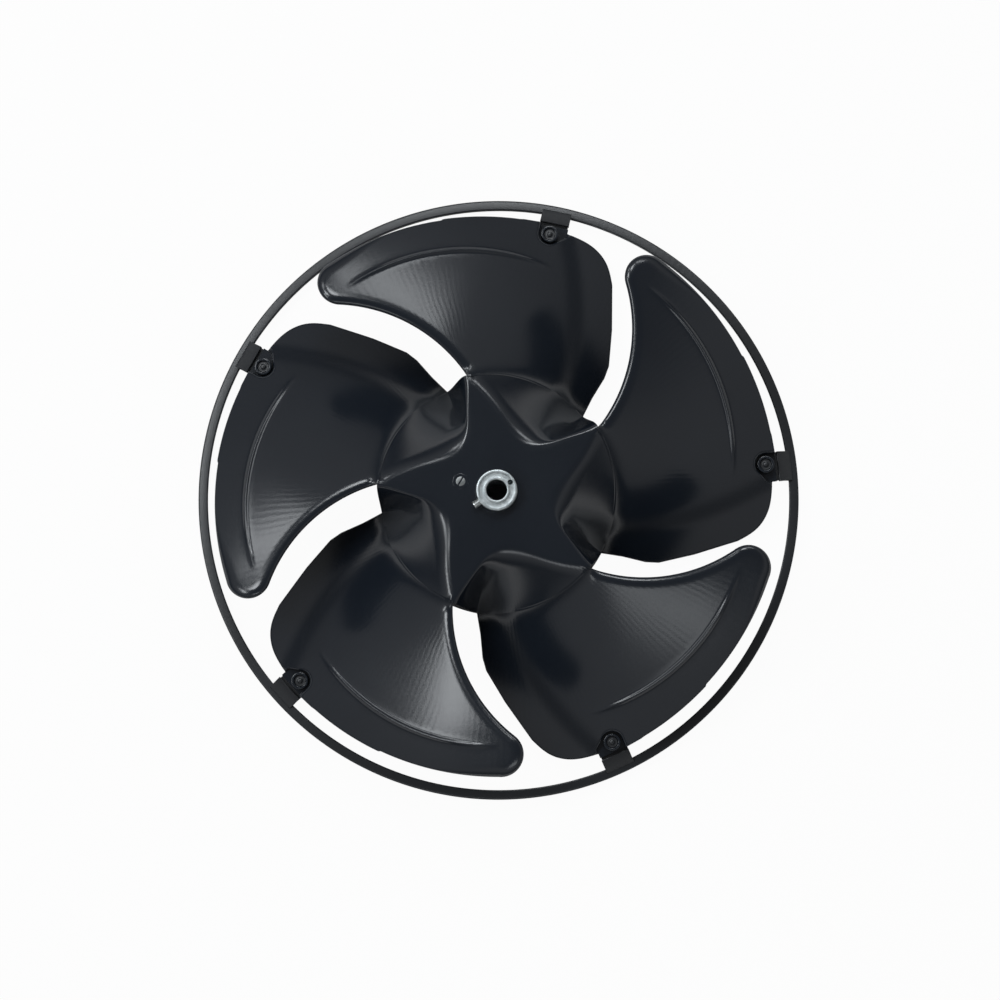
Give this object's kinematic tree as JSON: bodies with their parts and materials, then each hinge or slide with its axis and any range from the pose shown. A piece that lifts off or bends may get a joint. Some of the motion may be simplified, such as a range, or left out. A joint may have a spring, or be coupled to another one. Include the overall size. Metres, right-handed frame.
{
  "type": "air conditioner fan blade",
  "caption": "Axial condenser fan with sickle blades on a star-faced hub, an outer water-slinger ring and a metal shaft bushing with a set screw.",
  "frame": {"origin": "on the shaft axis, in the plane of the ring's lower face", "axes": "+Z along the shaft bore, out of the star face; +Y through the top of the picture; +X to its right"},
  "size_m": [0.3809, 0.381, 0.085],
  "materials": {
    "rotor_plastic": "moulded blue-black plastic with a satin sheen",
    "ring_plastic": "moulded grey-black plastic, a little duller",
    "zinc_steel": "zinc-plated turned steel",
    "screw_steel": "zinc-plated steel screw",
    "weight_steel": "dull grey metal plug"
  },
  "bodies": {
    "root": {"fan_rotor": "rotor_plastic", "slinger_ring": "ring_plastic", "hub_bushing": "zinc_steel", "set_screw": "screw_steel", "balance_weight": "weight_steel"}
  },
  "joints": []
}
